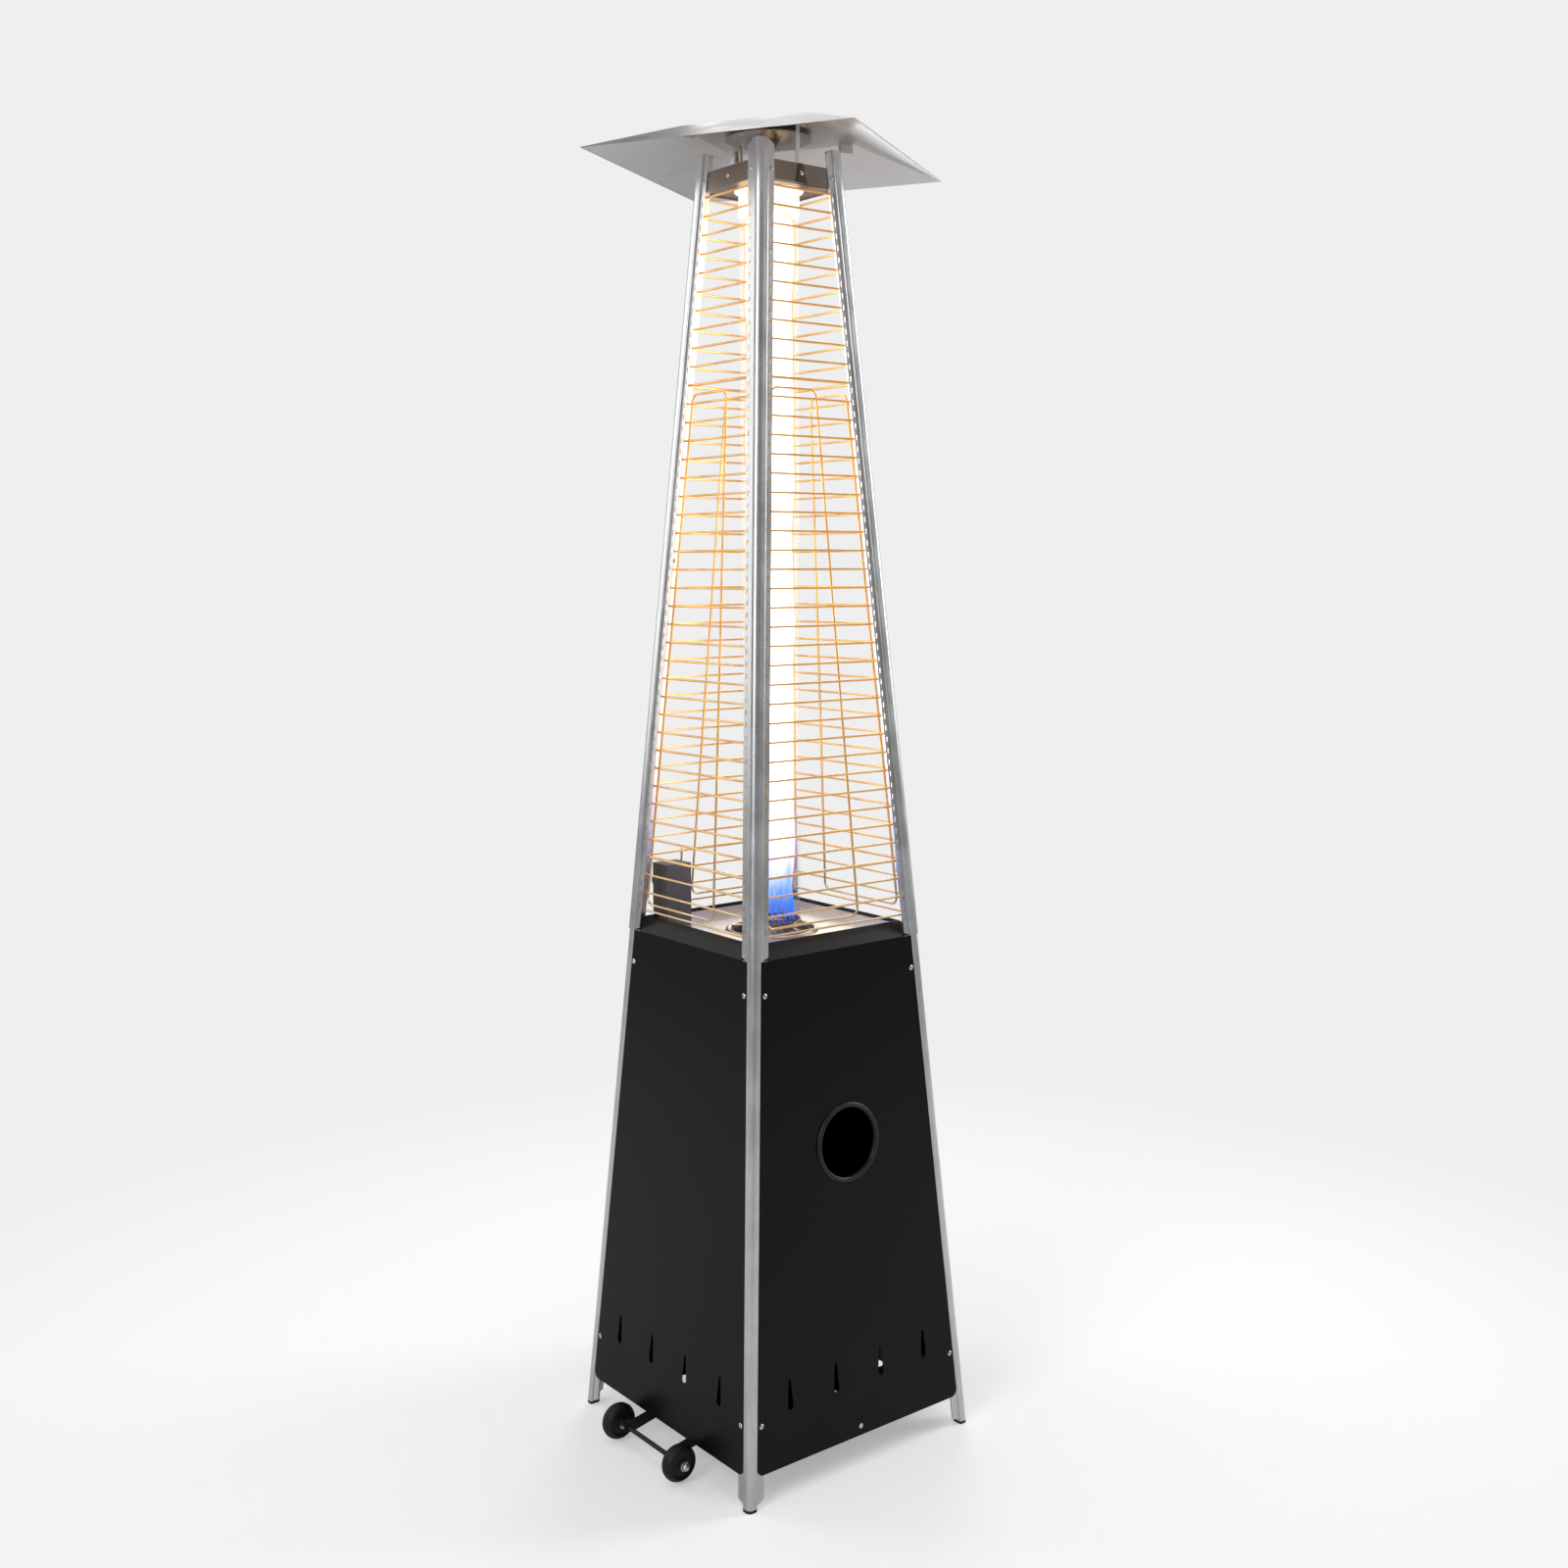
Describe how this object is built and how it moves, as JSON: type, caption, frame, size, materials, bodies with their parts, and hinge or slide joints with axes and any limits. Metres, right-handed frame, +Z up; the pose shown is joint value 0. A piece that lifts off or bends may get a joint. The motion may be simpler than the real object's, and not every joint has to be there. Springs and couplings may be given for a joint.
{
  "type": "pyramid patio heater",
  "caption": "Free-standing pyramid gas patio heater with a glowing quartz tube behind wire guards, a black cabinet on wheels and a square hood.",
  "frame": {"origin": "centre of the heater on the floor", "axes": "+Z up, -Y out of the front face with the round port, -X out of the face with the wheels, +Y out of the door and controls"},
  "size_m": [0.651, 0.651, 2.276],
  "materials": {
    "silver_post": "satin anodised extrusion",
    "black_paint": "semi-gloss black enamel",
    "satin_steel": "satin",
    "dark_steel": "heat-tinted",
    "bright_wire": "bright",
    "quartz": "clear",
    "brass": "machined",
    "black_plastic": "moulded",
    "bright_fastener": "zinc plated",
    "electrode_ceramic": "glazed"
  },
  "bodies": {
    "frame": {"axle": "bright_fastener", "axle_nuts": "bright_fastener", "bottle_tray": "black_paint", "burner_collar": "satin_steel", "burner_head": "dark_steel", "burner_pot": "dark_steel", "control_box": "black_paint", "control_fascia": "satin_steel", "deck_brackets": "dark_steel", "deck_plate": "satin_steel", "deck_skirt": "black_paint", "deflector_cone": "dark_steel", "door_catch": "black_plastic", "foot_plugs": "black_plastic", "frame_screws": "bright_fastener", "front_panel": "black_paint", "gas_inlet": "brass", "gas_jet": "brass", "gas_pipe": "brass", "gas_valve": "brass", "guard_clips": "bright_wire", "guard_front": "bright_wire", "guard_left": "bright_wire", "guard_rear": "bright_wire", "guard_right": "bright_wire", "heat_disc": "satin_steel", "hinge_leaves_fixed": "black_paint", "hood": "satin_steel", "hood_rods": "dark_steel", "igniter_barrel": "black_plastic", "left_panel": "black_paint", "lower_posts": "silver_post", "mixer_tube": "dark_steel", "panel_screws": "bright_fastener", "pilot_burner": "dark_steel", "port_ring": "black_paint", "quartz_tube": "quartz", "right_panel": "black_paint", "spark_electrode": "electrode_ceramic", "thermocouple": "brass", "tilt_switch": "black_plastic", "top_bars": "dark_steel", "top_fasteners": "bright_fastener", "top_plate": "satin_steel", "tube_cradle": "dark_steel", "tube_top_ring": "satin_steel", "upper_post_front_left": "silver_post", "upper_post_front_right": "silver_post", "upper_post_rear_left": "silver_post", "upper_post_rear_right": "silver_post", "wheel_brackets": "black_paint"},
    "door": {"door_panel": "black_paint", "hinge_leaves_door": "black_paint", "door_handle": "black_plastic"},
    "wheel_front": {"wheel_front": "black_plastic"},
    "wheel_rear": {"wheel_rear": "black_plastic"},
    "knob_carrier": {"knob_spring": "bright_fastener"},
    "knob": {"gas_knob": "black_plastic", "valve_spindle": "bright_fastener"},
    "igniter_button": {"igniter_button": "black_plastic"}
  },
  "joints": [
    {"name": "door_hinge", "type": "hinge", "parent": "frame", "child": "door", "pos_m": [0.19243, 0.21623, 0.47], "axis": [-0.0711, -0.0711, 0.9949], "range_deg": [-110, 0]},
    {"name": "wheel_front_spin", "type": "hinge", "parent": "frame", "child": "wheel_front", "pos_m": [-0.277, -0.092, 0.034], "axis": [0, 1, 0], "continuous": true},
    {"name": "wheel_rear_spin", "type": "hinge", "parent": "frame", "child": "wheel_rear", "pos_m": [-0.277, 0.092, 0.034], "axis": [0, 1, 0], "continuous": true},
    {"name": "knob_push", "type": "slide", "parent": "frame", "child": "knob_carrier", "axis": [0, -1, 0], "range_m": [0, 0.004], "stiffness_N_per_m": 600},
    {"name": "knob_turn", "type": "hinge", "parent": "knob_carrier", "child": "knob", "pos_m": [-0.11, 0.185, 0.968], "axis": [0, 1, 0], "range_deg": [0, 180]},
    {"name": "igniter_push", "type": "slide", "parent": "frame", "child": "igniter_button", "axis": [0, -1, 0], "range_m": [0, 0.005], "stiffness_N_per_m": 800}
  ]
}
